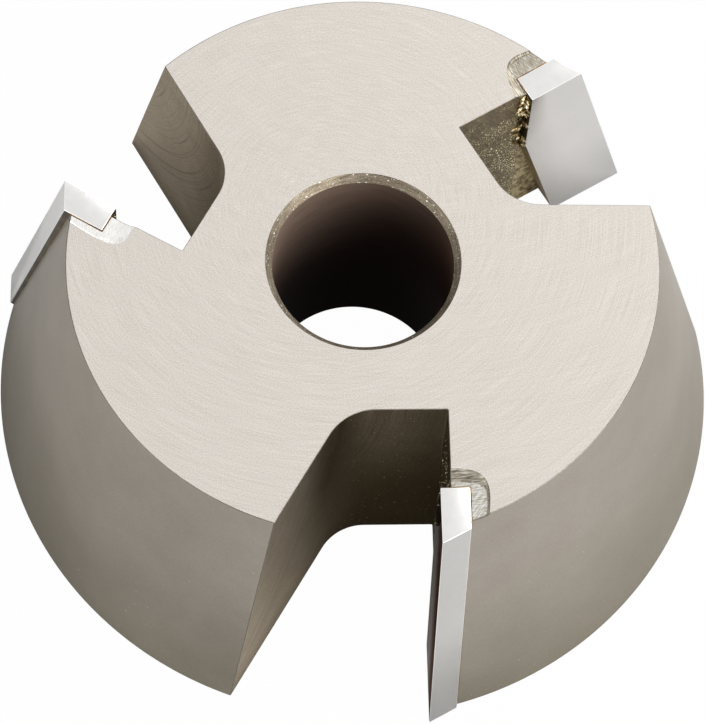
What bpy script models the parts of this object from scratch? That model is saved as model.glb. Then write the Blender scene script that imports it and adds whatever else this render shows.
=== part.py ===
"""Pipe beveling cutter wheel with three brazed carbide tips.

The blank is turned from one piece of steel: a cone with a plain arbor bore, chamfered at its
upper mouth. Three gullets are milled straight down through it. Beside each gullet a straight
slot makes the seat for one carbide tip, and a shallow relief with a rounded end is ground into
the top face around the tip. The tip stands out of the cone and out of the gullet wall, and a thin
joint of braze holds its back and its inner end.

The bore lies on the Z axis and the base lies on Z = 0. A station is the local frame of one
tooth: its first axis points outward along the gullet, its second points from the rake face to
the back of the tip, and its third is Z. The cutter turns with the rake faces leading, clockwise
seen from above. Lengths are in metres.
"""

from math import acos, asin, cos, pi, radians, sin, sqrt, tan

import bmesh
import bpy

MM = 0.001

# Turned blank
BORE_DIAMETER = 15.875 * MM
BORE_CHAMFER_WIDTH = 0.6 * MM
BORE_CHAMFER_DEPTH = 0.7 * MM
TOP_DIAMETER = 51.6 * MM
BODY_HEIGHT = 26.2 * MM
CONE_ANGLE = radians(14.7)
TOP_EDGE_BREAK = 0.15 * MM

# Teeth
TOOTH_COUNT = 3
FIRST_TOOTH_ANGLE = radians(-90.0)

# Gullets
GULLET_WEB = 6.2 * MM
GULLET_FLOOR_WIDTH = 8.8 * MM
GULLET_OPENING_ANGLE = radians(31.0)
GULLET_CORNER_RADIUS = 4.5 * MM

# Carbide tips
RAKE_OFFSET = 6.0 * MM
TIP_THICKNESS = 2.4 * MM
TIP_TOP_WIDTH = 5.15 * MM
TIP_CONE_STANDOUT = 1.3 * MM
TIP_GULLET_STANDOUT = 0.9 * MM
TIP_SEATED_HEIGHT = 8.6 * MM
TIP_TOP_DROP = 0.05 * MM
TIP_BASE_RECESS = 0.1 * MM
TIP_DISH_ANGLE = radians(2.6)
TIP_CLEARANCE_ANGLE = radians(16.0)

# Braze between a tip and its seat
BRAZE_GAP = 0.25 * MM
BRAZE_CLEARANCE = 0.05 * MM
UPPER_BEAD_LEG = 0.8 * MM
LOWER_BEAD_LEG = 0.6 * MM

# Relief ground into the top face around a tip
RELIEF_BELOW_TIP = 0.1 * MM
RELIEF_INNER_MARGIN = 1.6 * MM
RELIEF_BACK_MARGIN = 1.8 * MM
RELIEF_WALL_RADIUS = 2.0 * MM
RELIEF_CORNER_RADIUS = 1.9 * MM

# Fineness of the round faces, and how far a cutting shape runs past what it cuts
TURNED_SEGMENTS = 144
ARC_STEPS = 10
OVERRUN = 3.0 * MM

# Heights and radii that follow from the sizes above
bore_radius = BORE_DIAMETER / 2
top_radius = TOP_DIAMETER / 2
base_radius = top_radius + BODY_HEIGHT * tan(CONE_ANGLE)
outside = base_radius + TIP_CONE_STANDOUT + OVERRUN
above = BODY_HEIGHT + OVERRUN

# Station coordinates that the gullet, the seat, the tip and the braze share
gullet_floor = bore_radius + GULLET_WEB
gullet_wall = RAKE_OFFSET + TIP_GULLET_STANDOUT
tip_back = RAKE_OFFSET + TIP_THICKNESS
seat_plane = tip_back + BRAZE_GAP
hook_angle = asin(RAKE_OFFSET / (top_radius + TIP_CONE_STANDOUT))
edge_at_top = (top_radius + TIP_CONE_STANDOUT) * cos(hook_angle)
tip_inner = edge_at_top - TIP_TOP_WIDTH
slot_end = tip_inner - BRAZE_GAP
relief_end = tip_inner - RELIEF_INNER_MARGIN
relief_back = tip_back + RELIEF_BACK_MARGIN


def tip_top(out):
    """Height of a tip's ground top, which dips toward the bore by the dish angle."""
    return BODY_HEIGHT - TIP_TOP_DROP - (edge_at_top - out) * tan(TIP_DISH_ANGLE)


def relief_floor(out):
    """Height of the relief's floor, parallel to the tip's top and a little below it."""
    return tip_top(out) - RELIEF_BELOW_TIP


tip_bend = tip_top(tip_inner) - TIP_SEATED_HEIGHT


def tip_end(height):
    """Place of a tip's inner end: upright against the slot's end, then sloped like the cone."""
    return tip_inner + max(tip_bend - height, 0.0) * tan(CONE_ANGLE)


def cutting_edge(height):
    """Place of the cutting edge in the rake plane at a height."""
    return edge_at_top + (BODY_HEIGHT - height) * tan(CONE_ANGLE)


def cone_surface(height, across):
    """Place where the cone meets the plane at this distance from the bore's middle plane."""
    radius = top_radius + (BODY_HEIGHT - height) * tan(CONE_ANGLE)
    return sqrt(radius ** 2 - across ** 2)


def arc(centre, radius, start, end):
    """Points of an arc in a plane, from one angle to the other."""
    angles = [start + (end - start) * step / ARC_STEPS for step in range(ARC_STEPS + 1)]
    return [(centre[0] + radius * cos(a), centre[1] + radius * sin(a)) for a in angles]


def new_material(name, colour, roughness):
    """Metal with one colour and one roughness."""
    material = bpy.data.materials.new(name)
    material.use_nodes = True
    shader = material.node_tree.nodes["Principled BSDF"]
    shader.inputs["Base Color"].default_value = (*colour, 1.0)
    shader.inputs["Metallic"].default_value = 1.0
    shader.inputs["Roughness"].default_value = roughness
    return material


def new_object(name, mesh, angle=0.0, material=None):
    """Object on the bore's axis, turned to its station."""
    obj = bpy.data.objects.new(name, mesh)
    bpy.context.scene.collection.objects.link(obj)
    obj.parent = axis
    obj.rotation_euler.z = angle
    if material and not mesh.materials:
        mesh.materials.append(material)
    return obj


def finish_mesh(name, bm):
    """Mesh with its faces pointing out and its round faces shaded smooth."""
    bmesh.ops.recalc_face_normals(bm, faces=bm.faces)
    mesh = bpy.data.meshes.new(name)
    bm.to_mesh(mesh)
    bm.free()
    mesh.shade_smooth()
    mesh.set_sharp_from_angle(angle=radians(30.0))
    return mesh


def turned(name, profile):
    """Closed profile of (radius, height) points, spun round the bore's axis."""
    bm = bmesh.new()
    corners = [bm.verts.new((radius, 0.0, height)) for radius, height in profile]
    edges = [bm.edges.new((a, b)) for a, b in zip(corners, corners[1:] + corners[:1])]
    bmesh.ops.spin(bm, geom=corners + edges, cent=(0, 0, 0), axis=(0, 0, 1), angle=2 * pi,
                   steps=TURNED_SEGMENTS, use_merge=True)
    return finish_mesh(name, bm)


def lofted(name, sections):
    """Closed solid through sections that have the same number of (x, y, z) points each."""
    bm = bmesh.new()
    rings = [[bm.verts.new(point) for point in section] for section in sections]
    for near, far in zip(rings, rings[1:]):
        for i in range(len(near)):
            j = (i + 1) % len(near)
            bm.faces.new((near[i], near[j], far[j], far[i]))
    bm.faces.new(rings[0])
    bm.faces.new(rings[-1])
    return finish_mesh(name, bm)


def milled(name, outline, low, high):
    """Solid over an outline of (outward, across) points between two heights."""
    return lofted(name, [[(out, across, height) for out, across in outline]
                         for height in (low, high)])


def sawn(name, outline, near, far):
    """Solid over an outline of (outward, height) points between two distances across."""
    return lofted(name, [[(out, across, height) for out, height in outline]
                         for across in (near, far)])


def combine(target, operation, tools):
    """Boolean of a solid with each tool, which stays as a wire shape that isn't rendered."""
    for tool in tools:
        tool.hide_render = True
        tool.display_type = 'WIRE'
        modifier = target.modifiers.new(tool.name, 'BOOLEAN')
        modifier.operation = operation
        modifier.solver = 'EXACT'
        modifier.object = tool


def blank_mesh():
    """Turned cone with its bore, a chamfer at the upper mouth and the top edge just broken."""
    below_break = BODY_HEIGHT - TOP_EDGE_BREAK
    profile = [
        (bore_radius, 0.0),
        (base_radius, 0.0),
        (top_radius + TOP_EDGE_BREAK * tan(CONE_ANGLE), below_break),
        (top_radius - TOP_EDGE_BREAK, BODY_HEIGHT),
        (bore_radius + BORE_CHAMFER_WIDTH, BODY_HEIGHT),
        (bore_radius, BODY_HEIGHT - BORE_CHAMFER_DEPTH),
    ]
    return turned("cutter_body", profile)


def gullet_mesh():
    """Cutter for a gullet: a flat floor, a wall beside the tip, and a trailing wall that opens
    outward and meets the floor in a rounded corner."""
    foot = gullet_wall - GULLET_FLOOR_WIDTH
    radius = GULLET_CORNER_RADIUS
    corner_out = gullet_floor + radius
    corner_across = foot + radius * tan(pi / 4 - GULLET_OPENING_ANGLE / 2)
    trailing = foot - (outside - gullet_floor) * tan(GULLET_OPENING_ANGLE)
    outline = [(gullet_floor, gullet_wall), (outside, gullet_wall), (outside, trailing)]
    outline += arc((corner_out, corner_across), radius,
                   1.5 * pi - GULLET_OPENING_ANGLE, pi)
    return milled("gullet_cut", outline, -OVERRUN, above)


def slot_mesh():
    """Cutter for the seat: a straight slot from the cone to the upright inner end of the tip."""
    outline = [(slot_end, RAKE_OFFSET), (outside, RAKE_OFFSET), (outside, seat_plane),
               (slot_end, seat_plane)]
    return milled("seat_slot_cut", outline, -OVERRUN, above)


def relief_mesh():
    """Cutter for the relief: its floor lies along the tip's top, rises to the face in a rounded
    end wall toward the bore, and turns a rounded corner behind the tip."""
    face_rise = BODY_HEIGHT - relief_floor(relief_end)
    wall_turn = acos(max(1 - face_rise / RELIEF_WALL_RADIUS, 0.0))
    wall_run = RELIEF_WALL_RADIUS * sin(wall_turn)
    reach = max(wall_run, RELIEF_CORNER_RADIUS)
    places = [relief_end + reach * (step / ARC_STEPS) ** 2 for step in range(ARC_STEPS + 1)]
    sections = []
    for out in places + [outside]:
        run = out - relief_end
        to_wall = max(wall_run - run, 0.0)
        rise = RELIEF_WALL_RADIUS - sqrt(RELIEF_WALL_RADIUS ** 2 - to_wall ** 2)
        to_corner = max(RELIEF_CORNER_RADIUS - run, 0.0)
        inset = RELIEF_CORNER_RADIUS - sqrt(RELIEF_CORNER_RADIUS ** 2 - to_corner ** 2)
        floor = relief_floor(out) + rise
        back = relief_back - inset
        sections.append([(out, RAKE_OFFSET, floor), (out, back, floor),
                         (out, back, above), (out, RAKE_OFFSET, above)])
    return lofted("relief_cut", sections)


def tip_mesh():
    """Carbide tip: a sloped bar whose inner end is cut upright at the top, with a flank that
    falls away behind the cutting edge and a top ground with the dish angle."""
    flank_slope = tan(hook_angle + TIP_CLEARANCE_ANGLE)
    dish, cone = tan(TIP_DISH_ANGLE), tan(CONE_ANGLE)
    sections = []
    for across in (RAKE_OFFSET, tip_back):
        setback = (across - RAKE_OFFSET) * flank_slope
        corner_height = BODY_HEIGHT - (TIP_TOP_DROP + setback * dish) / (1 + dish * cone)
        sections.append([
            (cutting_edge(corner_height) - setback, across, corner_height),
            (tip_inner, across, tip_top(tip_inner)),
            (tip_inner, across, tip_bend),
            (tip_end(TIP_BASE_RECESS), across, TIP_BASE_RECESS),
            (cutting_edge(TIP_BASE_RECESS) - setback, across, TIP_BASE_RECESS),
        ])
    return lofted("carbide_tip", sections)


def back_film_mesh():
    """Braze behind the tip, from the base to the relief's floor and out to the cone."""
    inner = slot_end + BRAZE_CLEARANCE
    outer_top = cone_surface(relief_floor(top_radius), seat_plane)
    outline = [
        (inner, relief_floor(inner)),
        (inner, tip_bend),
        (tip_end(TIP_BASE_RECESS) - LOWER_BEAD_LEG, TIP_BASE_RECESS),
        (cone_surface(TIP_BASE_RECESS, seat_plane), TIP_BASE_RECESS),
        (outer_top, relief_floor(outer_top)),
    ]
    return sawn("braze_joint", outline, tip_back + BRAZE_CLEARANCE, seat_plane - BRAZE_CLEARANCE)


def upper_bead_mesh():
    """Braze at the tip's upright inner end, with a hollow bead in the corner that the tip makes
    with the gullet's wall."""
    wall = gullet_wall - BRAZE_CLEARANCE
    end = tip_inner - BRAZE_CLEARANCE
    outline = [
        (slot_end + BRAZE_CLEARANCE, seat_plane - BRAZE_CLEARANCE),
        (end, seat_plane - BRAZE_CLEARANCE),
    ]
    outline += arc((end - UPPER_BEAD_LEG, wall - UPPER_BEAD_LEG), UPPER_BEAD_LEG, 0.0, pi / 2)
    outline.append((slot_end + BRAZE_CLEARANCE, wall))
    return milled("upper_bead", outline, tip_bend, relief_floor(slot_end))


def lower_bead_mesh():
    """Hollow bead along the tip's sloped inner end, in the corner that it makes with the seat."""
    seat = seat_plane - BRAZE_CLEARANCE
    film = tip_back + BRAZE_CLEARANCE
    sections = []
    for height in (tip_bend, TIP_BASE_RECESS):
        end = tip_end(height) - BRAZE_CLEARANCE
        leg = LOWER_BEAD_LEG - BRAZE_CLEARANCE
        outline = [(end + BRAZE_GAP, seat), (end + BRAZE_GAP, film), (end, film)]
        outline += arc((end - leg, seat - leg), leg, 0.0, pi / 2)
        sections.append([(out, across, height) for out, across in outline])
    return lofted("lower_bead", sections)


for leftover in list(bpy.data.objects):
    bpy.data.objects.remove(leftover)

steel = new_material("ground_steel", (0.56, 0.53, 0.48), 0.42)
carbide = new_material("carbide", (0.80, 0.80, 0.78), 0.28)
braze = new_material("braze", (0.62, 0.40, 0.17), 0.45)

axis = bpy.data.objects.new("arbor_axis", None)
bpy.context.scene.collection.objects.link(axis)

body = new_object("cutter_body", blank_mesh(), material=steel)
cuts = [gullet_mesh(), slot_mesh(), relief_mesh()]
tip = tip_mesh()
film = back_film_mesh()
beads = [upper_bead_mesh(), lower_bead_mesh()]

for tooth in range(TOOTH_COUNT):
    number = tooth + 1
    angle = FIRST_TOOTH_ANGLE + tooth * 2 * pi / TOOTH_COUNT
    combine(body, 'DIFFERENCE', [new_object(f"{cut.name}_{number}", cut, angle) for cut in cuts])
    new_object(f"carbide_tip_{number}", tip, angle, carbide)
    joint = new_object(f"braze_joint_{number}", film, angle, braze)
    combine(joint, 'UNION', [new_object(f"{bead.name}_{number}", bead, angle) for bead in beads])
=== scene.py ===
from math import asin, cos, pi, radians, sin, sqrt, tan

import bmesh
import bpy
import numpy as np
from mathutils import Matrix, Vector
from mathutils.geometry import tessellate_polygon


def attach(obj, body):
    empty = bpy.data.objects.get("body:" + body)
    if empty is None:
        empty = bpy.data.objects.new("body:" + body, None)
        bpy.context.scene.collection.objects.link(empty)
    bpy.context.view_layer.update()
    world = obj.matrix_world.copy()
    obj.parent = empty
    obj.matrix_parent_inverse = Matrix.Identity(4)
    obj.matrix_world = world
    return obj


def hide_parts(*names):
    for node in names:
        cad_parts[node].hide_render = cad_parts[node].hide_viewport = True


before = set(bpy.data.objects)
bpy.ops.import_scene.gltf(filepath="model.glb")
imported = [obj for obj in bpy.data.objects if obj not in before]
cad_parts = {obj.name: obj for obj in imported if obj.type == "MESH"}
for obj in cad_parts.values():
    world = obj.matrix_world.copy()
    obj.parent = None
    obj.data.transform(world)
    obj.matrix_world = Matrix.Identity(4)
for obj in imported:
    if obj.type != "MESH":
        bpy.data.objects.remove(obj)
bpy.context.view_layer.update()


# The camera stands a third of a metre off, in front of the cutter and above it, and looks down
# through a long lens. It leans a little to one side. Its place was solved from the photograph.
camera = bpy.data.objects.new("camera", bpy.data.cameras.new("camera"))
camera.data.lens = 193.606
camera.data.clip_start = 0.01
camera.location = (-0.014713, -0.147717, 0.329882)
camera.rotation_euler = (radians(24.4803), radians(-1.932), radians(-1.3653))
bpy.context.scene.collection.objects.link(camera)
bpy.context.scene.camera = camera


# Cutter body: one piece of tool steel, turned to a cone and bored, with three gullets milled down
# through it and a slot beside each for its carbide tip. The gullets keep the dark scale of the
# brazing heat. Sizes are in millimetres, with the base on z = 0 and the bore on the z axis.
tooth_turn = 2 * pi / 3
first_tooth = -pi / 2
bore = 7.9375
bore_chamfer = (0.6, 0.7)
top_radius = 25.8
height = 26.2
cone_slope = tan(radians(14.7))
gullet_floor = bore + 6.2
gullet_wall = 6.9
trailing_foot = gullet_wall - 8.8
trailing_angle = radians(31.0)
corner_radius = 4.5
root_radius = 0.12
slot_end = 21.22
seat_plane = 8.57
edge_break = 0.06

# Each relief was ground by hand: where it starts along the gullet's wall, its corner before
# rounding, how far across it meets the cone, and how square its corner is. Its floor lies a
# little under the face at the cutting edge and dips toward the bore.
edge_reach = 26.43
relief_drop = 0.15
dish = tan(radians(2.6))
reliefs = [
    dict(start=19.62, corner=(19.75, 10.42), across=10.12, square=3.4),
    dict(start=20.02, corner=(20.75, 10.70), across=10.32, square=3.6),
    dict(start=18.80, corner=(18.95, 9.75), across=9.34, square=4.6),
]


def place(out, across, z, tooth):
    """Station point to row frame: outward and across turn by the tooth's angle about z."""
    angle = first_tooth + tooth_turn * tooth
    return np.stack([out * cos(angle) - across * sin(angle),
                     out * sin(angle) + across * cos(angle),
                     z + 0 * out], axis=-1)


def between(a, b, f):
    """Straight mix of a and b: a where f is 0, b where f is 1."""
    return a + (b - a) * f


# The stretches of the wall round one tooth, and the number of columns on each.
parts = ["trail", "corner", "floor", "root", "wall", "mouth", "slot", "seat", "shoulder", "cone"]
counts = [12, 14, 6, 5, 12, 10, 10, 16, 8, 56]
part = np.repeat(parts, counts)
step = np.concatenate([np.linspace(0, 1, n, endpoint=(name == "cone"))
                       for name, n in zip(parts, counts)])


def wall_line(tooth, z):
    """(out, across) of the body's wall at heights z, one for each column. The columns run inward
    along the gullet's straight trailing wall, round its corner arc, over its floor, through the
    root, outward along the tip's side to the slot, round the slot, and along the cone's circle,
    whose radius grows by the cone's slope as z falls, to the next gullet."""
    radius = top_radius + (height - z) * cone_slope
    relief = reliefs[tooth]
    way = np.array([cos(trailing_angle), -sin(trailing_angle)])
    foot = np.array([gullet_floor, trailing_foot])
    reach = -foot @ way + np.sqrt((foot @ way) ** 2 - foot @ foot + radius ** 2)
    lift = corner_radius * tan(pi / 4 - trailing_angle / 2)
    centre = (gullet_floor + corner_radius, trailing_foot + lift)
    along = between(reach - edge_break, lift, step)
    turn = between(1.5 * pi - trailing_angle, pi, step)
    bend = between(pi, pi / 2, step)
    first = np.arcsin(seat_plane / radius)
    middle = asin(relief["across"] / top_radius)
    last = np.arctan2(foot[1] + reach * way[1], foot[0] + reach * way[0]) + tooth_turn
    round_cone = np.where(part == "shoulder", between(first, middle, step),
                          between(middle, last - edge_break / radius, step))
    forms = {
        "trail": (foot[0] + along * way[0], foot[1] + along * way[1]),
        "corner": (centre[0] + corner_radius * np.cos(turn),
                   centre[1] + corner_radius * np.sin(turn)),
        "floor": (gullet_floor, between(centre[1], gullet_wall - root_radius, step)),
        "root": (gullet_floor + root_radius + root_radius * np.cos(bend),
                 gullet_wall - root_radius + root_radius * np.sin(bend)),
        "wall": (between(gullet_floor + root_radius, relief["start"], step), gullet_wall),
        "mouth": (between(relief["start"], slot_end, step), gullet_wall),
        "slot": (slot_end, between(gullet_wall, seat_plane, step)),
        "seat": (between(slot_end, np.sqrt(radius ** 2 - seat_plane ** 2), step), seat_plane),
        "shoulder": (radius * np.cos(round_cone), radius * np.sin(round_cone)),
        "cone": (radius * np.cos(round_cone), radius * np.sin(round_cone)),
    }
    masks = [part == name for name in parts]
    return [np.select(masks, [np.broadcast_to(forms[name][i], step.shape) for name in parts])
            for i in (0, 1)]


def inset(ring, amount):
    """Closed line moved inward: each corner goes along the mean of its two sides' normals, by
    the amount over the half angle's cosine squared."""
    side = np.roll(ring, -1, axis=0) - ring
    side /= np.linalg.norm(side, axis=1, keepdims=True)
    normal = np.stack([-side[:, 1], side[:, 0]], axis=1)
    before = np.roll(normal, 1, axis=0)
    share = 1 + (normal * before).sum(1, keepdims=True)
    return ring + amount * (normal + before) / share


def relief_depth(out):
    """Depth of a relief's floor below the face: its drop at the cutting edge, plus the dish for
    each millimetre inward from there."""
    return relief_drop + (edge_reach - out) * dish


class Patches:
    """The patches of one piece, gathered and then merged where their borders meet."""

    def __init__(self):
        self.points, self.faces, self.surface, self.finish, self.count = [], [], [], [], 0

    def grid(self, points, surface, finish, closed=False):
        """Grid of (row, column) points: each face joins two rows and two columns."""
        rows, columns = points.shape[:2]
        index = np.arange(rows * columns).reshape(rows, columns)
        if closed:
            index = np.concatenate([index, index[:, :1]], axis=1)
        corners = np.stack([index[:-1, :-1], index[:-1, 1:], index[1:, 1:], index[1:, :-1]], -1)
        finish = np.broadcast_to(finish, corners.shape[:2])
        self.add(points.reshape(-1, 3), corners.reshape(-1, 4).tolist(),
                 surface.reshape(-1, 2), finish.ravel().tolist())

    def flat(self, loops, finish):
        """Flat face inside the first loop and outside the others."""
        points = np.concatenate(loops)
        found = tessellate_polygon([[Vector(p) for p in loop] for loop in loops])
        self.add(points, [list(f) for f in found], points[:, :2], [finish] * len(found))

    def add(self, points, faces, surface, finish):
        """Adds points, and the faces that join them, numbered on from those already there."""
        self.faces += [[i + self.count for i in f] for f in faces]
        self.points.append(points)
        self.surface.append(surface)
        self.finish += finish
        self.count += len(points)

    def piece(self, name, materials, sharp=30.0):
        """One closed mesh in metres, faces outward, with its surface coordinates in a UV map."""
        points, surface = np.concatenate(self.points) / 1000, np.concatenate(self.surface)
        mesh = bpy.data.meshes.new(name)
        mesh.from_pydata(points.tolist(), [], self.faces)
        for material in materials:
            mesh.materials.append(material)
        mesh.polygons.foreach_set("material_index", self.finish)
        corner = np.empty(len(mesh.loops), np.int32)
        mesh.loops.foreach_get("vertex_index", corner)
        mesh.uv_layers.new(name="Surface").data.foreach_set("uv", surface[corner].ravel())
        bm = bmesh.new()
        bm.from_mesh(mesh)
        bmesh.ops.remove_doubles(bm, verts=bm.verts, dist=2e-6)
        bmesh.ops.dissolve_degenerate(bm, edges=bm.edges, dist=1e-7)
        bmesh.ops.recalc_face_normals(bm, faces=bm.faces)
        bm.to_mesh(mesh)
        bm.free()
        mesh.shade_smooth()
        mesh.set_sharp_from_angle(angle=radians(sharp))
        made = bpy.data.objects.new(name, mesh)
        bpy.context.scene.collection.objects.link(made)
        return made


def circle(radius, z, count=180):
    """Circle about the z axis."""
    turn = np.arange(count) * 2 * pi / count
    return np.stack([radius * np.cos(turn), radius * np.sin(turn), z + 0 * turn], axis=1)


# Finishes, numbered in the order of the body's materials.
FACE, CONE, GULLET, SPATTERED, SEAT, BORE, CHAMFER, EDGE, RELIEF = range(9)
RELIEF_WALL, PAINTED_SHADE_FRONT_WALL = range(RELIEF + 3, RELIEF + 5)
part_finish = dict(trail=GULLET, corner=GULLET, floor=GULLET, root=GULLET, wall=SPATTERED,
                   mouth=SPATTERED, slot=SEAT, seat=SEAT, shoulder=CONE, cone=CONE)
body = Patches()

# The face's edge has a small break all round it, which a relief lowers. Its columns from the
# mouth to the cone are shared out along the relief's outline.
plan = [np.stack(wall_line(tooth, np.full(len(step), height)), axis=1) for tooth in range(3)]
flat_ring = np.concatenate([place(p[:, 0], p[:, 1], 0.0, k)[:, :2] for k, p in enumerate(plan)])
flat_inset = inset(flat_ring, edge_break)
per_tooth = len(step)
start = int(np.argmax(part == "mouth"))
end = int(np.argmax(part == "cone"))
shares = dict(mouth=(0.0, 0.12), slot=(0.12, 0.47), seat=(0.47, 0.93), shoulder=(0.93, 1.0))
share = np.array([between(*shares[p], s) for p, s in zip(part[start:end], step[start:end])]
                 + [1.0])

# A relief's outline is a rounded square drawn between four points: its start on the gullet's
# wall, its corner, its end on the cone, and the point where the two sides would meet.
top_height = np.full(3 * per_tooth, height)
outer_loop = flat_inset.copy()
for tooth, relief in enumerate(reliefs):
    columns = tooth * per_tooth + np.arange(start, end + 1)
    angle = first_tooth + tooth_turn * tooth
    turn_back = np.array([[cos(angle), -sin(angle)], [sin(angle), cos(angle)]])
    edge = flat_inset[columns] @ turn_back
    side = np.linspace(0, pi / 2, 600)
    c, s = np.cos(side) ** (2 / relief["square"]), np.sin(side) ** (2 / relief["square"])
    hub = np.array([edge[-1, 0], edge[0, 1]])
    line = (np.outer(c * (1 - s), edge[0]) + np.outer(c * s, relief["corner"])
            + np.outer((1 - c) * s, edge[-1]) + np.outer((1 - c) * (1 - s), hub))
    length = np.concatenate([[0], np.cumsum(np.linalg.norm(np.diff(line, axis=0), axis=1))])
    outline = np.stack([np.interp(share * length[-1], length, line[:, i]) for i in (0, 1)], axis=1)
    wall_radius = between(2.0, 0.3, np.clip((share - 0.3) / 0.3, 0, 1))
    span = np.linalg.norm(outline - edge, axis=1)
    depth = np.minimum(relief_depth(outline[:, 0]), wall_radius * 0.98)
    run = np.sqrt(2 * wall_radius * depth - depth ** 2)

    def relief_height(point, distance):
        """The floor, and near the outline a hollow arc that climbs from it to the face."""
        within = np.clip(run - distance, 0, None)
        return (height - relief_depth(point[..., 0])
                + wall_radius - np.sqrt(wall_radius ** 2 - within ** 2))

    z_edge = np.minimum(relief_height(edge, span), height)
    z_edge[[0, -1]] = height
    top_height[columns] = z_edge
    outer_loop[columns] = place(outline[:, 0], outline[:, 1], 0.0, tooth)[:, :2]
    f = (1 - (1 - np.linspace(0, 1, 16)) ** 1.7)[:, None]
    flat = between(edge[None], outline[None], f[..., None])
    z = np.minimum(relief_height(flat, (1 - f) * span), height)
    z[0], z[-1] = z_edge, height
    points = place(flat[..., 0], flat[..., 1], z, tooth)
    on_wall = ((1 - f) * span < 0.9 * run)[1:, 1:] & (tooth < 2)
    body.grid(points, flat, np.where(on_wall, RELIEF_WALL, RELIEF + tooth))

# The wall is a stack of rings from the base's broken edge to the face's. Its surface coordinates
# are the running length, from 0 at the gullet's corner, and the height.
rings, surfaces = [], []
levels = np.concatenate([[0.0], np.linspace(0, 1, 22), [1.0]])
for i, level in enumerate(levels):
    z = between(edge_break, top_height - edge_break, level)
    lines = [place(*wall_line(k, z[k * per_tooth:(k + 1) * per_tooth]), 0.0, k) for k in range(3)]
    ring = np.concatenate(lines)[:, :2]
    gone = np.linalg.norm(np.roll(ring, -1, axis=0) - ring, axis=1)
    total = np.concatenate([[0], np.cumsum(gone)[:-1]]).reshape(3, per_tooth)
    total -= total[:, [int(np.argmax(part == "corner"))]]
    if i == 0:
        ring, z = inset(ring, edge_break), 0 * z
    if i == len(levels) - 1:
        ring, z = flat_inset, top_height
    rings.append(np.column_stack([ring, z]))
    surfaces.append(np.column_stack([total.ravel(), z]))
column_finish = np.array([part_finish[p] for p in part] * 3)
column_finish[per_tooth - 1::per_tooth] = EDGE
# Tooth 1's spattered wall takes the darker copy of its material, a painted shade.
front = column_finish[:per_tooth]
front[front == SPATTERED] = PAINTED_SHADE_FRONT_WALL
finish = np.repeat(column_finish[None], len(levels) - 1, axis=0)
finish[0] = finish[-1] = EDGE
body.grid(np.array(rings), np.array(surfaces), finish, closed=True)

body.flat([np.column_stack([outer_loop, np.full(len(outer_loop), height)]),
           circle(bore + bore_chamfer[0], height)], FACE)
body.flat([rings[0], circle(bore, 0.0)], FACE)
bore_rings = np.array([circle(bore + bore_chamfer[0], height),
                       circle(bore, height - bore_chamfer[1])]
                      + [circle(bore, z) for z in np.linspace(height - 3, 3, 6)]
                      + [circle(bore, 0.0)])
columns = bore_rings.shape[1]
around = np.broadcast_to(np.arange(columns) * 2 * pi * bore / columns, bore_rings.shape[:2])
bore_finish = np.full((len(bore_rings) - 1, 1), BORE)
bore_finish[0] = CHAMFER
body.grid(bore_rings, np.stack([around, bore_rings[..., 2]], -1), bore_finish, closed=True)


def new_material(name, metallic, roughness):
    """Material with a Principled shader; returns it with its node tree and shader."""
    material = bpy.data.materials.new(name)
    material.use_nodes = True
    shader = material.node_tree.nodes["Principled BSDF"]
    shader.inputs["Metallic"].default_value = metallic
    shader.inputs["Roughness"].default_value = roughness
    return material, material.node_tree, shader


def node(tree, kind, inputs=(), **settings):
    """One shader node: settings are its properties, inputs its values or linked outputs."""
    made = tree.nodes.new("ShaderNode" + kind)
    for key, value in settings.items():
        setattr(made, key, value)
    for key, value in dict(inputs).items():
        if isinstance(value, bpy.types.NodeSocket):
            tree.links.new(value, made.inputs[key])
        else:
            made.inputs[key].default_value = value
    return made.outputs[0]


def ramp(tree, factor, *stops):
    """Colour ramp through (place, colour) stops."""
    made = tree.nodes.new("ShaderNodeValToRGB")
    elements = made.color_ramp.elements
    for i, (place_, colour) in enumerate(stops):
        element = elements[i] if i < 2 else elements.new(place_)
        element.position, element.color = place_, (*colour, 1.0)
    tree.links.new(factor, made.inputs[0])
    return made.outputs[0]


def maths(tree, operation, a, b=0.0):
    """One arithmetic step on two numbers or outputs."""
    return node(tree, "Math", {0: a, 1: b}, operation=operation)


def blended(tree, *shares):
    """Sum of patterns, each times its share."""
    total = 0.0
    for pattern, share_ in shares:
        total = maths(tree, "ADD", maths(tree, "MULTIPLY", pattern, share_), total)
    return total


def noise(tree, vector, scale, detail, rough=0.5):
    """Noise of about one bump per 1/scale of the coordinates' unit."""
    return node(tree, "TexNoise", {"Vector": vector, "Scale": scale, "Detail": detail,
                                   "Roughness": rough})


def stretched(tree, vector, scale, turn=0.0):
    """Coordinates turned about z and then scaled, to stretch a pattern along the turned axes."""
    return node(tree, "Mapping", {"Vector": vector, "Scale": [1 / c for c in scale],
                                  "Rotation": (0, 0, turn)}, vector_type="TEXTURE")


def in_millimetres(tree):
    """Object coordinates in millimetres."""
    return stretched(tree, tree_output(tree, "TexCoord", "Object"), (1000, 1000, 1000))


def tree_output(tree, kind, name):
    """A named output of a new node."""
    return tree.nodes.new("ShaderNode" + kind).outputs[name]


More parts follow.
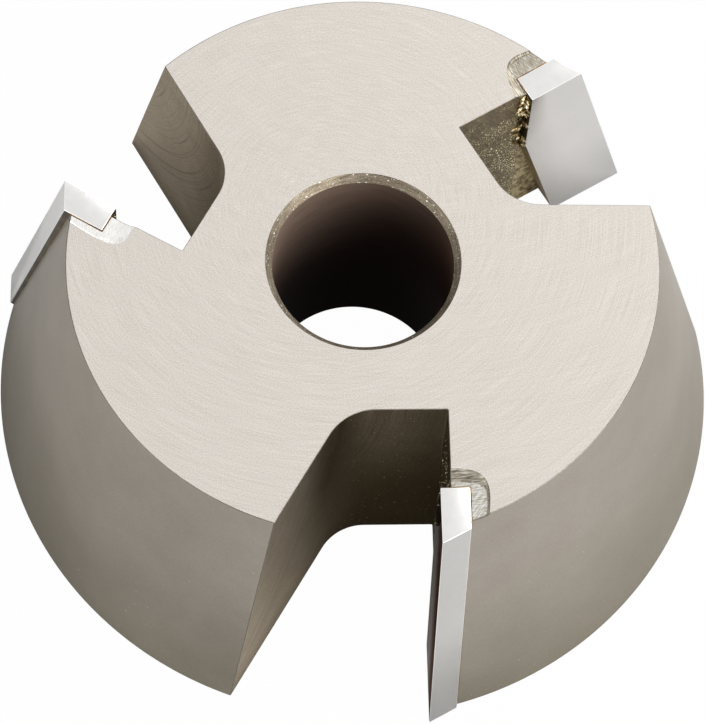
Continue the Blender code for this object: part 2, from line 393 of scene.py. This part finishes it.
def rings_about(tree, vector, centre, fine, round_, detail=3.0):
    """Noise drawn out along circles: its coordinates are the distance from the centre and the
    angle about it."""
    moved = node(tree, "VectorMath", {0: vector, 1: centre}, operation="SUBTRACT")
    split = tree.nodes.new("ShaderNodeSeparateXYZ")
    tree.links.new(moved, split.inputs[0])
    x, y = split.outputs[0], split.outputs[1]
    square = maths(tree, "ADD", maths(tree, "MULTIPLY", x, x), maths(tree, "MULTIPLY", y, y))
    radius = maths(tree, "SQRT", square)
    angle = maths(tree, "ARCTAN2", y, x)
    polar = node(tree, "CombineXYZ", {0: maths(tree, "MULTIPLY", radius, fine),
                                      1: maths(tree, "MULTIPLY", angle, round_)})
    return noise(tree, polar, 1.0, detail, 0.65)


def fade(tree, value, none_at, full_at, most=1.0):
    """Soft step of a value, from 0 where it is none_at to the most where it is full_at."""
    return node(tree, "MapRange", {0: value, 1: none_at, 2: full_at, 3: 0.0, 4: most},
                interpolation_type="SMOOTHSTEP")


def bumped(tree, shader, height_, depth, strength):
    """Bump from a height, in metres of depth."""
    made = node(tree, "Bump", {"Height": height_, "Distance": depth, "Strength": strength})
    tree.links.new(made, shader.inputs["Normal"])


def lapped_face():
    """Faced steel: very fine ground arcs about a point beside the bore, fainter ones across them
    and a crisp grain."""
    material, tree, shader = new_material("lapped_face", 1.0, 0.36)
    mm = in_millimetres(tree)
    grinding = rings_about(tree, mm, (-3, 5, 0), 12.0, 4.0, detail=1.0)
    lapping = rings_about(tree, mm, (4, 34, 0), 5.5, 6.0)
    grain = noise(tree, mm, 10.0, 1.0, 0.6)
    mixed = blended(tree, (grinding, 0.20), (lapping, 0.12), (grain, 0.48))
    colour = ramp(tree, mixed, (0.29, (0.525, 0.487, 0.439)), (0.40, (0.634, 0.591, 0.541)),
                  (0.51, (0.745, 0.699, 0.650)))
    tree.links.new(colour, shader.inputs["Base Color"])
    bumped(tree, shader, mixed, 0.00003, 0.25)
    return material


def turned_cone():
    """Cone turned and polished to a grey satin, with a painted shade that makes it darker and a
    little browner toward the base, and with a faint cloud and a fine grain."""
    material, tree, shader = new_material("turned_cone", 1.0, 0.36)
    shader.inputs["Specular Tint"].default_value = (0.86, 0.85, 0.83, 1)
    mm = in_millimetres(tree)
    cloud = noise(tree, mm, 0.12, 3.0, 0.6)
    grain = noise(tree, mm, 8.0, 2.0, 0.7)
    specks = noise(tree, mm, 2.6, 1.0, 0.4)
    mixed = blended(tree, (cloud, 0.45), (grain, 0.55))
    split = tree.nodes.new("ShaderNodeSeparateXYZ")
    tree.links.new(mm, split.inputs[0])
    upper = ramp(tree, mixed, (0.35, (0.345, 0.308, 0.263)), (0.65, (0.430, 0.389, 0.342)))
    # Painted shade: the lower, darker satin fades in toward the base.
    lower = ramp(tree, mixed, (0.35, (0.250, 0.224, 0.178)), (0.65, (0.318, 0.288, 0.237)))
    foot = fade(tree, split.outputs[2], 18.0, 1.0)
    satin = node(tree, "MixRGB", {0: foot, 1: upper, 2: lower})
    fleck = maths(tree, "GREATER_THAN", specks, 0.80)
    colour = node(tree, "MixRGB", {0: fleck, 1: satin, 2: (0.50, 0.46, 0.39, 1)})
    tree.links.new(colour, shader.inputs["Base Color"])
    bumped(tree, shader, grain, 0.00002, 0.2)
    return material


def milled_gullet():
    """Milled wall under dark heat scale, which is thickest by the gullet's floor and thins
    outward along the trailing wall. Painted shade darkens it low on the floor and in the bottom
    few millimetres, and painted light brightens the trailing wall toward its rim. Thin arcs of
    feed marks show in it."""
    material, tree, shader = new_material("milled_gullet", 1.0, 0.40)
    shader.inputs["Specular Tint"].default_value = (0.92, 0.83, 0.70, 1)
    surface = tree_output(tree, "TexCoord", "UV")
    marks = rings_about(tree, surface, (-28.0, 27.0, 0), 1.5, 0.35, detail=0.0)
    level = maths(tree, "ABSOLUTE", maths(tree, "SUBTRACT", marks, 0.5))
    feed = node(tree, "MapRange", {0: level, 1: 0.0, 2: 0.03, 3: 0.5, 4: 0.0})
    grain = noise(tree, surface, 8.0, 1.0, 0.6)
    specks = noise(tree, surface, 3.4, 1.0, 0.4)
    mixed = blended(tree, (noise(tree, surface, 0.35, 3.0, 0.6), 0.2), (grain, 0.8))
    scale_ = ramp(tree, mixed, (0.36, (0.085, 0.068, 0.042)), (0.62, (0.215, 0.180, 0.130)))
    thin = ramp(tree, mixed, (0.38, (0.215, 0.185, 0.143)), (0.60, (0.44, 0.390, 0.323)))
    bare_and_lit = ramp(tree, mixed, (0.36, (0.266, 0.237, 0.196)), (0.62, (0.454, 0.403, 0.334)))
    burnt_and_shaded = ramp(tree, mixed, (0.36, (0.040, 0.029, 0.013)), (0.64, (0.080, 0.062, 0.034)))
    split = tree.nodes.new("ShaderNodeSeparateXYZ")
    tree.links.new(surface, split.inputs[0])
    along, up = split.outputs[0], split.outputs[1]
    low = fade(tree, up, 23.0, 8.0)
    inward = fade(tree, along, 0.0, 5.0)
    outward = fade(tree, along, 2.0, -6.5)
    # Painted light, partly thinner scale: the trailing wall brightens toward its rim.
    at_rim = fade(tree, along, -7.0, -12.5)
    # Painted shade: the bottom few millimetres darken.
    shade = fade(tree, up, 4.5, 0.0, most=0.45)
    # Painted shade, partly heat scale: the colour goes darkest low on the gullet's floor.
    scaled = node(tree, "MixRGB", {0: maths(tree, "MULTIPLY", low, inward), 1: scale_, 2: burnt_and_shaded})
    thinned = node(tree, "MixRGB", {0: outward, 1: scaled, 2: thin})
    rimmed = node(tree, "MixRGB", {0: at_rim, 1: thinned, 2: bare_and_lit})
    dimmed = node(tree, "MixRGB", {0: maths(tree, "MAXIMUM", feed, shade), 1: rimmed,
                                   2: (0.050, 0.040, 0.026, 1)})
    fleck = maths(tree, "GREATER_THAN", specks, 0.73)
    colour = node(tree, "MixRGB", {0: fleck, 1: dimmed, 2: (0.42, 0.38, 0.29, 1)})
    tree.links.new(colour, shader.inputs["Base Color"])
    bumped(tree, shader, mixed, 0.00006, 0.5)
    return material


def spattered_wall(name, shade):
    """Wall beside the tip: brown-olive scale with faint cutter lines, under a sugary crust of
    braze and flux that leaves the top of the wall free, with painted glints of near-white gold
    where the crust is thick. A shade below 1 darkens the scale and thins the crust: a painted
    shade."""
    material, tree, shader = new_material(name, 1.0, 0.36)
    surface = tree_output(tree, "TexCoord", "UV")
    crust = noise(tree, surface, 7.0, 1.5, 0.8)
    cloud = noise(tree, surface, 0.45, 3.0, 0.6)
    lines = noise(tree, stretched(tree, surface, (5.0, 0.35, 1), 0.5), 1.0, 2.0, 0.6)
    scale_ = ramp(tree, lines, (0.38, tuple(shade * c for c in (0.125, 0.094, 0.056))),
                  (0.62, tuple(shade * c for c in (0.25, 0.196, 0.112))))
    # Painted glint: specks of near-white gold.
    painted_glint = node(tree, "MapRange", {0: noise(tree, surface, 6.5, 0.0), 1: 0.61, 2: 0.66})
    crusty = ramp(tree, crust, (0.42, (0.040, 0.027, 0.008)), (0.52, (0.165, 0.126, 0.050)),
                  (0.62, (0.40, 0.32, 0.145)))
    gold = node(tree, "MixRGB", {0: painted_glint, 1: crusty, 2: (1.0, 0.95, 0.72, 1)})
    split = tree.nodes.new("ShaderNodeSeparateXYZ")
    tree.links.new(surface, split.inputs[0])
    free = node(tree, "MapRange", {0: split.outputs[1], 1: 16.0, 2: 25.0})
    layer = blended(tree, (cloud, 0.7), (crust, 0.3), (free, -0.09))
    thick = node(tree, "MapRange", {0: layer, 1: 0.45, 2: 0.51, 3: 0.0, 4: min(1.0, 1.3 * shade)})
    colour = node(tree, "MixRGB", {0: thick, 1: scale_, 2: gold})
    tree.links.new(colour, shader.inputs["Base Color"])
    bumped(tree, shader, crust, 0.0002, 0.8)
    return material


def heated_seat():
    """Seat of the tip: smooth steel gone dark brown with the heat."""
    material, tree, shader = new_material("heated_seat", 0.85, 0.34)
    surface = tree_output(tree, "TexCoord", "UV")
    cloud = noise(tree, surface, 0.8, 4.0, 0.65)
    colour = ramp(tree, cloud, (0.3, (0.10, 0.075, 0.038)), (0.5, (0.22, 0.18, 0.10)),
                  (0.7, (0.40, 0.34, 0.20)))
    tree.links.new(colour, shader.inputs["Base Color"])
    bumped(tree, shader, cloud, 0.0002, 0.4)
    return material


def ground_relief(name, angles, dark, middle, bright, contrast, roughness=0.30):
    """Relief left by a small grinding wheel: streaks of two grinding passes at two angles."""
    material, tree, shader = new_material(name, 1.0, roughness)
    surface = tree_output(tree, "TexCoord", "UV")
    first, second = (noise(tree, stretched(tree, surface, (9.0, 0.9, 1), turn), 1.0, 2.0, 0.6)
                     for turn in angles)
    mixed = blended(tree, (first, 0.55), (second, 0.45))
    colour = ramp(tree, mixed, (0.5 - contrast, dark), (0.5, middle), (0.5 + contrast, bright))
    tree.links.new(colour, shader.inputs["Base Color"])
    bumped(tree, shader, mixed, 0.00006, 0.5)
    return material


def bore_wall():
    """Reamed bore under reddish brown oxide, with a painted shade that turns it nearly black
    toward the base and toward +x.
    """
    material, tree, shader = new_material("bore_wall", 0.0, 0.45)
    shader.inputs["Specular IOR Level"].default_value = 0.05
    surface = tree_output(tree, "TexCoord", "UV")
    lay = noise(tree, stretched(tree, surface, (0.25, 5.0, 1)), 1.0, 3.0, 0.6)
    split = tree.nodes.new("ShaderNodeSeparateXYZ")
    tree.links.new(in_millimetres(tree), split.inputs[0])
    # Painted shade: the oxide goes nearly black downward and toward +x.
    tilted = blended(tree, (split.outputs[2], 1.0), (split.outputs[0], -1.0))
    oxide = ramp(tree, lay, (0.3, (0.165, 0.115, 0.088)), (0.7, (0.235, 0.170, 0.132)))
    black = ramp(tree, lay, (0.3, (0.020, 0.006, 0.003)), (0.7, (0.034, 0.012, 0.006)))
    painted_shade_depth = fade(tree, tilted, 35.0, 6.0)
    colour = node(tree, "MixRGB", {0: painted_shade_depth, 1: oxide, 2: black})
    tree.links.new(colour, shader.inputs["Base Color"])
    bumped(tree, shader, lay, 0.00003, 0.3)
    return material


def chamfer_ring():
    """Coarsely turned chamfer, gritty, with a few bright nicks."""
    material, tree, shader = new_material("chamfer_ring", 1.0, 0.48)
    mm = in_millimetres(tree)
    grit = noise(tree, mm, 8.0, 3.0, 0.7)
    turning = rings_about(tree, mm, (0, 0, 0), 7.0, 5.0)
    nicks = noise(tree, mm, 5.0, 2.0, 0.6)
    brown = ramp(tree, blended(tree, (grit, 0.5), (turning, 0.5)), (0.38, (0.105, 0.082, 0.056)),
                 (0.62, (0.30, 0.255, 0.192)))
    nick = maths(tree, "GREATER_THAN", nicks, 0.68)
    colour = node(tree, "MixRGB", {0: nick, 1: brown, 2: (0.85, 0.83, 0.76, 1)})
    tree.links.new(colour, shader.inputs["Base Color"])
    bumped(tree, shader, grit, 0.00008, 0.5)
    return material


def broken_edge():
    """Bright line where an edge has just been broken."""
    material, tree, shader = new_material("broken_edge", 1.0, 0.50)
    mm = in_millimetres(tree)
    nicks = noise(tree, mm, 3.0, 2.0, 0.6)
    colour = ramp(tree, nicks, (0.3, (0.14, 0.125, 0.105)), (0.7, (0.22, 0.20, 0.17)))
    tree.links.new(colour, shader.inputs["Base Color"])
    return material


reliefs_ground = [
    ground_relief("ground_relief_1", (0.15, 0.95), (0.30, 0.27, 0.21), (0.55, 0.53, 0.48),
                  (0.80, 0.79, 0.76), 0.13),
    ground_relief("ground_relief_2", (0.35, -0.25), (0.24, 0.20, 0.14), (0.44, 0.40, 0.33),
                  (0.70, 0.67, 0.60), 0.14),
    ground_relief("ground_relief_3", (0.5, -0.3), (0.72, 0.69, 0.64), (0.84, 0.83, 0.81),
                  (0.90, 0.90, 0.89), 0.12),
    ground_relief("relief_end_wall", (0.0, 0.1), (0.10, 0.085, 0.06), (0.25, 0.225, 0.18),
                  (0.45, 0.42, 0.36), 0.12, roughness=0.52)]
# The last material is the front wall's copy, darkened to 0.35: a painted shade.
body_piece = body.piece("cutter_body_steel", [
    lapped_face(), turned_cone(), milled_gullet(), spattered_wall("spattered_wall", 1.0),
    heated_seat(), bore_wall(), chamfer_ring(), broken_edge(), *reliefs_ground,
    spattered_wall("spattered_wall_front_painted_shade", 0.35)])
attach(body_piece, "root")
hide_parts("cutter_body")


# Carbide tips: one sintered bar a tooth, ground on the rake face, the flank and the top. Its
# inner end is upright at the top and then slopes outward like the cone.
rake_plane, tip_back_plane = 6.0, 8.52
cutting_radius = 27.1
tip_depth = 5.15
top_gap = 0.05
hook = asin(rake_plane / cutting_radius)
edge_out = cutting_radius * cos(hook)
tip_inner = edge_out - tip_depth
tip_top_inner = height - top_gap - tip_depth * dish
tip_bend = tip_top_inner - 8.6
tip_base = 0.1
flank_slope = tan(hook + radians(16.0))


def tip_profile(across):
    """Corners (out, z) of the tip's section at a distance across: the cutting edge lies on the
    cone's slope, set back by the flank's slope."""
    setback = (across - rake_plane) * flank_slope
    corner = height - (top_gap + setback * dish) / (1 + dish * cone_slope)
    return np.array([
        (edge_out + (height - corner) * cone_slope - setback, corner),
        (tip_inner, tip_top_inner),
        (tip_inner, tip_bend),
        (tip_inner + (tip_bend - tip_base) * cone_slope, tip_base),
        (edge_out + (height - tip_base) * cone_slope - setback, tip_base),
    ])


def rounded(corners, radius, steps=3):
    """Each corner replaced by an arc of the radius, from one side's foot to the other's."""
    before = np.roll(corners, 1, axis=0) - corners
    after = np.roll(corners, -1, axis=0) - corners
    before /= np.linalg.norm(before, axis=1, keepdims=True)
    after /= np.linalg.norm(after, axis=1, keepdims=True)
    half = np.arccos(np.clip((before * after).sum(1), -1, 1)) / 2
    cut = (radius / np.tan(half))[:, None, None]
    t = np.linspace(0, 1, steps + 1)[None, :, None]
    a, b = corners[:, None] + before[:, None] * cut, corners[:, None] + after[:, None] * cut
    mid = corners[:, None]
    return ((1 - t) ** 2 * a + 2 * t * (1 - t) * mid + t ** 2 * b).reshape(-1, 2)


def carbide(name, colour, roughness, shade=0.36, stain=None):
    """Finely ground carbide: bright, with faint lines along the grind, darker toward the base by a
    painted shade, and at mid height, where a stain colour is given, a painted shade of it with a
    brown tint on the reflection, for the dark gullet that the face mirrors."""
    material, tree, shader = new_material(name, 1.0, roughness)
    mm = in_millimetres(tree)
    lines = noise(tree, stretched(tree, mm, (1.2, 1.2, 9.0)), 1.0, 3.0, 0.6)
    cloud = noise(tree, mm, 0.15, 2.0, 0.5)
    mixed = blended(tree, (lines, 0.6), (cloud, 0.4))
    low = tuple(c * 0.96 for c in colour)
    high = tuple(min(c * 1.04, 0.97) for c in colour)
    ground = ramp(tree, mixed, (0.35, low), (0.65, high))
    split = tree.nodes.new("ShaderNodeSeparateXYZ")
    tree.links.new(mm, split.inputs[0])
    # Painted shade: the colour darkens toward the base, by the shade at most.
    foot = fade(tree, split.outputs[2], 14.0, 0.0, most=shade)
    ground = node(tree, "MixRGB", {0: foot, 1: ground, 2: (0.02, 0.019, 0.018, 1)})
    # Painted shade: a band of the given colour, with a brown-tinted reflection, stands in for the
    # dark gullet that the face mirrors.
    if stain:
        shader.inputs["Specular Tint"].default_value = (0.22, 0.15, 0.12, 1)
        upper = fade(tree, split.outputs[2], 25.5, 20.5)
        lower = fade(tree, split.outputs[2], 3.0, 14.5)
        ground = node(tree, "MixRGB", {0: maths(tree, "MULTIPLY", upper, lower), 1: ground,
                                       2: (*stain, 1)})
    tree.links.new(ground, shader.inputs["Base Color"])
    bumped(tree, shader, lines, 0.00002, 0.2)
    return material


def sintered(name, shade):
    """Carbide as it left the furnace, browned by the brazing heat."""
    material, tree, shader = new_material(name, 1.0, 0.42)
    mm = in_millimetres(tree)
    stain = noise(tree, mm, 0.7, 4.0, 0.65)
    dark, middle, bright = ([shade * c for c in colour] for colour in
                            ((0.085, 0.068, 0.045), (0.135, 0.112, 0.080), (0.21, 0.175, 0.12)))
    colour = ramp(tree, stain, (0.35, dark), (0.55, middle), (0.75, bright))
    tree.links.new(colour, shader.inputs["Base Color"])
    bumped(tree, shader, stain, 0.0001, 0.4)
    return material


# Finishes, numbered in the order of a tip's materials. Each tip's flank has its own grey, a
# painted shade on tips 1 and 2 and painted light on tip 3, and its own painted shade toward the
# base, and tip 1's rake face carries a painted shade for the dark gullet that it mirrors.
GROUND, RAKE, TOP, PAINTED_HIGHLIGHT_EDGE, UNGROUND, BROWNED = range(6)
top_carbide = carbide("ground_carbide_top", (0.75, 0.74, 0.725), 0.32)
# The rounded edges take a near-white carbide: a painted highlight along each edge.
edge_carbide_painted_highlight = carbide("carbide_edge_painted_highlight", (0.95, 0.95, 0.94), 0.30)
raw_carbide, browned_carbide = sintered("sintered_carbide", 1.0), sintered("browned_carbide", 3.2)
flanks_painted_light_and_shade = [((0.62, 0.61, 0.595), 0.36), ((0.65, 0.635, 0.62), 0.36), ((0.95, 0.93, 0.91), 0.0)]
rake_painted_shade = [(0.30, 0.225, 0.18), None, None]
edge_round = 0.06
slices = [(rake_plane, edge_round), (rake_plane + 0.3 * edge_round, 0.3 * edge_round),
          (rake_plane + edge_round, 0.0), (tip_back_plane - edge_round, 0.0),
          (tip_back_plane - 0.3 * edge_round, 0.3 * edge_round), (tip_back_plane, edge_round)]
for tooth in range(3):
    tip = Patches()
    sections = []
    for across, draw_in in slices:
        corners = tip_profile(across)
        if draw_in:
            corners = inset(corners, draw_in)
        line = rounded(corners, edge_round)
        sections.append(place(line[:, 0], np.full(len(line), across), line[:, 1], tooth))
    sections = np.array(sections)
    sides = np.array([TOP, UNGROUND, BROWNED, GROUND, GROUND])
    columns = np.full((5, 4), PAINTED_HIGHLIGHT_EDGE)
    columns[:, -1] = sides
    finish = np.repeat(columns.reshape(1, -1), 5, axis=0)
    finish[[0, 1, 3, 4]] = PAINTED_HIGHLIGHT_EDGE
    tip.grid(sections, sections[..., :2], finish, closed=True)
    tip.flat([sections[0]], RAKE)
    tip.flat([sections[-1]], UNGROUND)
    tip_finish = [carbide(f"ground_carbide_{tooth + 1}", flanks_painted_light_and_shade[tooth][0], 0.20, flanks_painted_light_and_shade[tooth][1]),
                  carbide(f"ground_carbide_rake_{tooth + 1}", (0.72, 0.70, 0.685), 0.10,
                          stain=rake_painted_shade[tooth]),
                  top_carbide, edge_carbide_painted_highlight, raw_carbide, browned_carbide]
    tip_piece = tip.piece(f"carbide_tip_{tooth + 1}_ground", tip_finish, sharp=40)
    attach(tip_piece, "root")
    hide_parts(f"carbide_tip_{tooth + 1}")


# Braze: a thin film of golden braze between each tip and its seat, and a lumpy bead where it
# welled out of the joint at the tip's upright end. Grains of it spattered on the wall nearby.
bead_legs = (1.25, 0.92)
film_lap = 0.03
hair = 0.02
bead_seed, grain_seed, grain_count = 11, 31, 260
FILM, BEAD, WASH = range(3)


def lumps(a, b, count, size, seed):
    """Sum of round hills of unit height, 0 where there is none: hill i stands at a random place
    (a_i, b_i) and falls off as exp(-(distance / its size) squared)."""
    rng = np.random.default_rng(seed)
    at_a = rng.uniform(a.min(), a.max(), count)
    at_b = rng.uniform(b.min(), b.max(), count)
    wide = rng.uniform(*size, count)
    far = ((a[..., None] - at_a) ** 2 + (b[..., None] - at_b) ** 2) / wide ** 2
    return np.max(np.exp(-far) * rng.uniform(0.4, 1.0, count), axis=-1)


def film_loop(z):
    """Thin L in plan at a height: along the slot's end and its seat to the cone, and back along
    the tip, lapping both by a hair so that the joint shows no gap."""
    radius = top_radius + (height - z) * cone_slope
    out = sqrt(radius ** 2 - seat_plane ** 2) + hair
    outer, inner = seat_plane + film_lap, tip_back_plane - film_lap
    return np.array([(slot_end - film_lap, gullet_wall + hair), (slot_end - film_lap, outer),
                     (out, outer), (out, inner), (tip_inner + film_lap, inner),
                     (tip_inner + film_lap, gullet_wall + hair)])


def bead_surface(tooth, seed):
    """Bead in polar form about the corner of tip and wall: at each turn from the wall round to
    the tip it reaches to a hollow line between its two legs, plus lumps."""
    turn = np.linspace(0, pi / 2, 40)[None, :]
    z = np.linspace(tip_bend - 1.6, tip_top_inner - 0.30, 220)[:, None]
    reach = 1 / (np.cos(turn) / bead_legs[0] + np.sin(turn) / bead_legs[1])
    hollow = 1 - 0.30 * np.sin(2 * turn)
    wave = lumps(turn * 0.9 + 0 * z, z + 0 * turn, 70, (0.14, 0.34), seed)
    fine = lumps(turn * 0.9 + 0 * z, z + 0 * turn, 420, (0.05, 0.12), seed + 50)
    taper = np.clip((z - z[0]) / 1.2, 0.15, 1) * np.clip((z[-1] - z) / 0.5, 0.25, 1)
    rise = np.clip(0.62 * wave + 0.38 * fine, 0, 1)
    r = reach * hollow * (0.40 + 0.95 * rise) * taper
    out = tip_inner + hair - r * np.cos(turn)
    across = gullet_wall + hair - r * np.sin(turn)
    corner = np.broadcast_to([[tip_inner + 0.05, gullet_wall + 0.05]], (len(z), 1, 2))
    flat = np.concatenate([np.stack([out, across], -1), corner], axis=1)
    # The surface coordinates hold each point's rise, 0 at the corner, from which the braze paints
    # highlight on high points and shade on low ones.
    high = np.concatenate([rise, 0 * z], axis=1)
    return (place(flat[..., 0], flat[..., 1], z + 0 * flat[..., 0], tooth),
            np.stack([high, z + 0 * high], -1))


def grains(tooth, seed, count):
    """Flattened drops on the wall: rings of a half ball, scaled to each drop's size and moved to
    its place, crowded toward the slot."""
    rng = np.random.default_rng(seed)
    out = slot_end - 0.2 - 6.2 * rng.uniform(0, 1, count) ** 1.7
    z = rng.uniform(0.8, height - 3.5, count)
    size = rng.uniform(0.03, 0.08, count) * np.where(rng.uniform(0, 1, count) > 0.9, 1.6, 1)
    tilt, turn = np.linspace(0, pi / 2, 4), np.arange(7) * 2 * pi / 7
    ring = np.cos(tilt)[:, None]
    x = out[:, None, None] + size[:, None, None] * ring * np.cos(turn)
    up = z[:, None, None] + size[:, None, None] * ring * np.sin(turn)
    rise = size[:, None, None] * (0.7 * np.sin(tilt)[:, None] + 0 * turn)
    # Each drop rises toward its top, where the braze paints a highlight.
    high = 0.45 + 0.5 * np.sin(tilt)[:, None] + 0 * x
    return place(x, gullet_wall + 0.01 - rise, up, tooth), np.stack([high, up], -1)


def braze_metal():
    """Golden braze with a painted highlight, near white, on its lumps and a painted shade, near
    black, in the hollows between them: the piece's surface coordinates hold how high each point
    stands."""
    material, tree, shader = new_material("golden_braze", 1.0, 0.40)
    surface = tree_output(tree, "TexCoord", "UV")
    split = tree.nodes.new("ShaderNodeSeparateXYZ")
    tree.links.new(surface, split.inputs[0])
    skin = noise(tree, in_millimetres(tree), 5.0, 2.0, 0.7)
    level = blended(tree, (split.outputs[0], 0.75), (skin, 0.5))
    colour = ramp(tree, level, (0.36, (0.020, 0.012, 0.005)), (0.52, (0.26, 0.185, 0.08)),
                  (0.67, (0.62, 0.50, 0.27)), (0.80, (0.97, 0.90, 0.66)))
    tree.links.new(colour, shader.inputs["Base Color"])
    bumped(tree, shader, skin, 0.0001, 0.6)
    return material


def copper_film():
    """The joint's edge: a thin orange-brown line."""
    material, tree, shader = new_material("copper_film", 1.0, 0.40)
    mm = in_millimetres(tree)
    skin = noise(tree, mm, 0.9, 3.0, 0.6)
    colour = ramp(tree, skin, (0.38, (0.17, 0.075, 0.030)), (0.52, (0.38, 0.21, 0.085)),
                  (0.66, (0.60, 0.44, 0.20)))
    tree.links.new(colour, shader.inputs["Base Color"])
    return material


def braze_wash():
    """Thin wash of braze on the slot's end below the tip's bend, gone olive brown."""
    material, tree, shader = new_material("braze_wash", 0.9, 0.36)
    mm = in_millimetres(tree)
    stain = noise(tree, mm, 1.5, 4.0, 0.7)
    colour = ramp(tree, stain, (0.36, (0.13, 0.092, 0.040)), (0.5, (0.50, 0.41, 0.22)),
                  (0.64, (0.92, 0.83, 0.54)))
    tree.links.new(colour, shader.inputs["Base Color"])
    bumped(tree, shader, stain, 0.0003, 0.6)
    return material


braze_finish = [copper_film(), braze_metal(), braze_wash()]
for tooth in range(3):
    joint = Patches()
    levels = [tip_base, tip_bend, height - 0.6]
    loops = [film_loop(z) for z in [*levels, height - 0.3]]
    tops = height - relief_depth(loops[-1][:, 0]) + 0.015
    loops = [place(l[:, 0], l[:, 1], z + 0 * l[:, 0], tooth)
             for l, z in zip(loops, [*levels, tops])]
    film_finish = np.full((3, 6), FILM)
    film_finish[0, [0, 1, 3, 4, 5]] = WASH
    joint.grid(np.array(loops), np.array(loops)[..., 1:], film_finish, closed=True)
    joint.flat([loops[0]], FILM)
    joint.flat([loops[-1]], FILM)
    points, surface = bead_surface(tooth, bead_seed + tooth)
    joint.grid(points, surface, BEAD, closed=True)
    joint.flat([points[0]], BEAD)
    joint.flat([points[-1]], BEAD)
    drops, surface = grains(tooth, grain_seed + tooth, grain_count)
    for drop, flat in zip(drops, surface):
        joint.grid(drop, flat, BEAD, closed=True)
        joint.flat([drop[0]], BEAD)
    braze_piece = joint.piece(f"braze_joint_{tooth + 1}_bead", braze_finish)
    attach(braze_piece, "root")
    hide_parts(f"braze_joint_{tooth + 1}")


# Table and light: a white sheet under the cutter, two large soft lamps at the right and behind, a
# faint one at the left, and a pale sky. The sheet and the sky show white to the camera, metal sees
# them with the cutter's own shadow, and the sheet keeps a faint shadow.
def seen_by(tree, camera_share, mirror_share):
    """One share for the camera, another for what metal reflects or glass passes."""
    path = tree.nodes.new("ShaderNodeLightPath")
    mirrored = maths(tree, "MAXIMUM", path.outputs["Is Glossy Ray"],
                     path.outputs["Is Transmission Ray"])
    return maths(tree, "ADD", maths(tree, "MULTIPLY", path.outputs["Is Camera Ray"], camera_share),
                 maths(tree, "MULTIPLY", mirrored, mirror_share))


sheet_material = bpy.data.materials.new("white_sheet")
sheet_material.use_nodes = True
tree = sheet_material.node_tree
tree.nodes.clear()
matt = node(tree, "BsdfDiffuse", {"Color": (0.86, 0.86, 0.86, 1)})
glow = node(tree, "Emission", {"Color": (1, 1, 1, 1), "Strength": 1.0})
shown = node(tree, "MixShader", {0: seen_by(tree, 0.985, 0.05), 1: matt, 2: glow})
tree.links.new(shown, tree.nodes.new("ShaderNodeOutputMaterial").inputs["Surface"])
sheet = bpy.data.meshes.new("white_sheet")
half, below = 2.0, -0.00005
sheet.from_pydata([(-half, -half, below), (half, -half, below), (half, half, below),
                   (-half, half, below)], [], [(0, 1, 2, 3)])
sheet.materials.append(sheet_material)
floor = bpy.data.objects.new("white_sheet", sheet)
bpy.context.scene.collection.objects.link(floor)

sky = bpy.data.worlds.new("sky")
sky.use_nodes = True
tree = sky.node_tree
dim = node(tree, "Background", {"Color": (1, 1, 1, 1), "Strength": 0.28})
white = node(tree, "Background", {"Color": (1, 1, 1, 1), "Strength": 1.0})
seen = node(tree, "MixShader", {0: seen_by(tree, 1.0, 1.0), 1: dim, 2: white})
tree.links.new(seen, tree.nodes["World Output"].inputs["Surface"])
bpy.context.scene.world = sky

for name, spot, size, power in [("lamp_right", (0.67, -0.56, 0.38), 0.8, 9.8),
                                ("lamp_behind", (0.62, 0.62, 0.38), 0.8, 7.6),
                                ("lamp_left", (-0.82, -0.38, 0.29), 0.5, 2.2)]:
    light = bpy.data.lights.new(name, "AREA")
    light.size, light.energy = size, power
    lamp = bpy.data.objects.new(name, light)
    lamp.location = spot
    lamp.rotation_euler = (-Vector(spot)).to_track_quat("-Z", "Y").to_euler()
    bpy.context.scene.collection.objects.link(lamp)

bpy.context.scene.view_settings.view_transform = "Standard"
